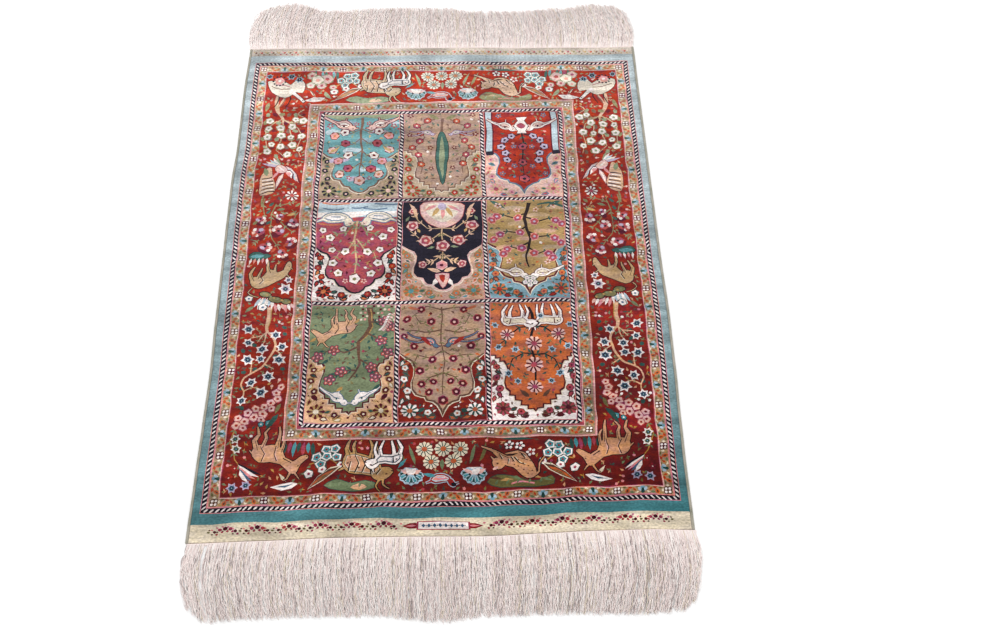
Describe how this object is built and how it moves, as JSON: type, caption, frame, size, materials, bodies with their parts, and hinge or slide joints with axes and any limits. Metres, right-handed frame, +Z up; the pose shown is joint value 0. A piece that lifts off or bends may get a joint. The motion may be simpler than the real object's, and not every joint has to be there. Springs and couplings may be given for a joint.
{
  "type": "hereke rug",
  "caption": "Small flat silk pile rug with a panelled garden field, animal and flower borders, flat-woven ends, overcast sides and long warp fringes.",
  "frame": {"origin": "on the floor, under the middle of the rug with its fringes", "axes": "+Y along the warps towards the far fringe, +X across to the right, +Z up out of the pile"},
  "size_m": [0.5466, 0.96, 0.0033],
  "materials": {
    "silk_pile": "short knotted silk pile in many colours with a directional sheen, flat-woven cream ends",
    "binding_silk": "cream silk overcasting",
    "fringe_silk": "fine twisted silk warps, pinkish cream"
  },
  "bodies": {
    "root": {"woven_rug": "silk_pile", "binding_left": "binding_silk", "binding_right": "binding_silk", "fringe_near": "fringe_silk", "fringe_far": "fringe_silk"}
  },
  "joints": []
}
